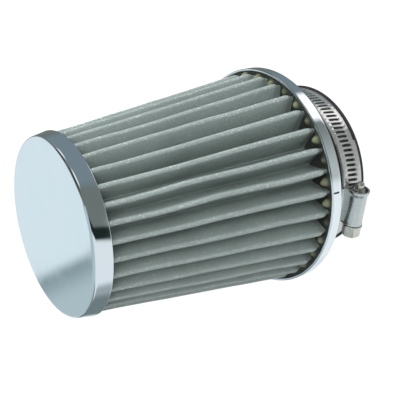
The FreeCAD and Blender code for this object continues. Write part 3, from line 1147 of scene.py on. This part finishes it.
# Cards: direction, half angles in degrees where a card is full and where it ends, and colour
CARDS = [
    ((0.61, -0.78, 0.10), (9, 17), grey(1.5)),
    ((0.85, 0.45, 0.27), (26, 38), colour(0.88, 0.94, 0.95)),
    ((0.30, 0.93, 0.22), (6, 20), colour(0.35, 0.40, 0.43)),
    ((-0.47, 0.87, 0.11), (14, 26), colour(0.22, 0.27, 0.29)),
    ((-0.02, 0.80, 0.60), (19, 33), colour(0.17, 0.22, 0.23)),
    ((-0.86, -0.05, 0.50), (24, 34), colour(0.74, 0.85, 0.90)),
    ((-0.79, -0.32, -0.53), (9, 17), colour(0.02, 0.025, 0.03)),
    ((-0.85, -0.52, -0.13), (7, 13), colour(0.02, 0.025, 0.03)),
    ((-0.24, -0.69, -0.69), (8, 15), grey(1.0)),
    ((-0.45, -0.89, -0.12), (7, 13), grey(0.9)),
]

# Lamps: direction, distance and size in metres, and watts
LAMPS = {
    "key": ((-0.45, -0.85, -0.30), 0.8, 0.35, 4.5),
    "fill": ((-0.20, -0.12, -0.95), 1.0, 0.6, 6.0),
}


def seen_way(right, down, ahead):
    """Direction in the part's frame from the camera's right, down and ahead."""
    return (RIGHT * right + DOWN * down + AHEAD * ahead).normalized()


def add_lamp(name, way, distance, size, watts):
    """Soft square lamp that looks at the middle of the filter."""
    data = bpy.data.lights.new(name, "AREA")
    data.size = size
    data.energy = watts
    lamp = new_object(name, data)
    middle = Vector((0, 0, CAP_TOP_Z * MM / 2))
    lamp.location = middle + seen_way(*way) * distance
    lamp.rotation_euler = (middle - lamp.location).to_track_quat("-Z", "Y").to_euler()
    lamp.visible_glossy = False


def any_ray(nodes, *names):
    """1 for rays of the named kinds."""
    path = nodes.add("ShaderNodeLightPath")
    total = 0.0
    for name in names:
        total = nodes.math("MAXIMUM", path.outputs[name], total)
    return total


def room_nodes(nodes, way, sunk):
    """Dim room, lighter on the right, with a pale table below and a dark gap over the table's near end."""
    near_edges, ceiling_edges = (0.30, 0.62), (-0.6, -0.8)
    right_edges, right_levels = (0.6, 0.8), (-0.8, -0.02)
    table_drop, table_edges = 0.26, (0.0, 0.13)
    gap_start, gap_end = (0.03, 0.11), (0.33, 0.28)
    wall, ceiling = colour(0.16, 0.19, 0.18), colour(0.19, 0.245, 0.28)
    right_wall, table = colour(0.49, 0.53, 0.52), colour(0.78, 0.84, 0.88)
    dark = colour(0.012, 0.02, 0.018)
    near = nodes.rise(nodes.dot(way, -AHEAD), *near_edges)
    rightwards = nodes.rise(nodes.dot(way, RIGHT), *right_edges)
    rightwards = nodes.product(rightwards, nodes.rise(sunk, *right_levels))
    room = nodes.mix(nodes.rise(sunk, *ceiling_edges), wall, ceiling)
    room = nodes.mix(rightwards, room, right_wall)
    under = nodes.math("SUBTRACT", sunk, nodes.product(near, table_drop))
    room = nodes.mix(nodes.rise(under, *table_edges), room, table)
    gap = nodes.product(nodes.rise(sunk, *gap_start), nodes.rise(sunk, *gap_end))
    return nodes.mix(nodes.product(gap, near), room, dark)


def card_nodes(nodes, way, room):
    """The room with its round cards."""
    for card_way, half_angles, tint in CARDS:
        full, end = (math.cos(math.radians(angle)) for angle in half_angles)
        near = nodes.dot(way, seen_way(*card_way))
        room = nodes.mix(nodes.rise(near, end, full), room, tint)
    return room


def wedge_nodes(nodes, way, room):
    """The room with the grey table end on the left, which the cap's face shows as a wedge."""
    wedge_edges, shade_edges, left_edges = (-0.014, 0.004), (0.0, 0.035), (0.45, 0.6)
    dark, light = colour(0.27, 0.35, 0.38), colour(0.46, 0.565, 0.60)
    depth = nodes.dot(way, seen_way(*WEDGE_WAY))
    tint = nodes.mix(nodes.rise(depth, *shade_edges), dark, light)
    leftwards = nodes.rise(nodes.dot(way, -RIGHT), *left_edges)
    return nodes.mix(nodes.product(nodes.rise(depth, *wedge_edges), leftwards), room, tint)


def studio_world():
    """White backdrop, soft light from above, and a room with cards that shiny surfaces show."""
    soft_edges = (-0.3, 0.9)
    soft_above, soft_below = colour(0.80, 0.81, 0.82), colour(0.22, 0.23, 0.24)
    world = bpy.data.worlds.new("studio")
    bpy.context.scene.world = world
    world.use_nodes = True
    nodes = Nodes(world.node_tree)
    way = nodes.add("ShaderNodeTexCoord").outputs["Generated"]
    sunk = nodes.dot(way, DOWN)
    room = room_nodes(nodes, way, sunk)
    room = card_nodes(nodes, way, room)
    room = wedge_nodes(nodes, way, room)
    soft = nodes.mix(nodes.rise(sunk, *soft_edges), soft_above, soft_below)
    light = nodes.mix(any_ray(nodes, "Is Glossy Ray"), soft, room)
    direct = any_ray(nodes, "Is Camera Ray", "Is Transmission Ray")
    background = world.node_tree.nodes["Background"]
    nodes.put(nodes.mix(direct, light, grey(1.0)), background.inputs["Color"])


def floor_material():
    """Pale floor that reads as white and keeps a faint shadow."""
    bounce, seen, glow_strength = grey(0.8), grey(0.14), 0.94
    material, nodes, shader = new_material("floor")
    material.node_tree.nodes.remove(shader)
    direct = any_ray(nodes, "Is Camera Ray", "Is Glossy Ray", "Is Transmission Ray")
    matt = nodes.add("ShaderNodeBsdfDiffuse", Color=nodes.mix(direct, bounce, seen))
    glow = nodes.add("ShaderNodeEmission", Strength=nodes.product(direct, glow_strength))
    both = nodes.add("ShaderNodeAddShader")
    nodes.put(matt.outputs[0], both.inputs[0])
    nodes.put(glow.outputs[0], both.inputs[1])
    nodes.put(both.outputs[0], material.node_tree.nodes["Material Output"].inputs["Surface"])
    return material


def add_floor():
    """Plain floor under the neck's mouth."""
    reach = 4000.0
    corners = [(-reach, -reach, 0), (reach, -reach, 0), (reach, reach, 0), (-reach, reach, 0)]
    mesh = new_mesh("floor", corners, [(0, 1, 2, 3)])
    mesh.materials.append(floor_material())
    floor = new_object("floor", mesh)
    floor.visible_glossy = False


end_cap()
base_ring()
rubber_neck()
base_potting()
cap_potting()
element()
strap()
clamp_housing()
clamp_screw()
add_camera()
add_floor()
studio_world()
for lamp_name, settings in LAMPS.items():
    add_lamp(lamp_name, *settings)
bpy.context.scene.view_settings.view_transform = "Standard"
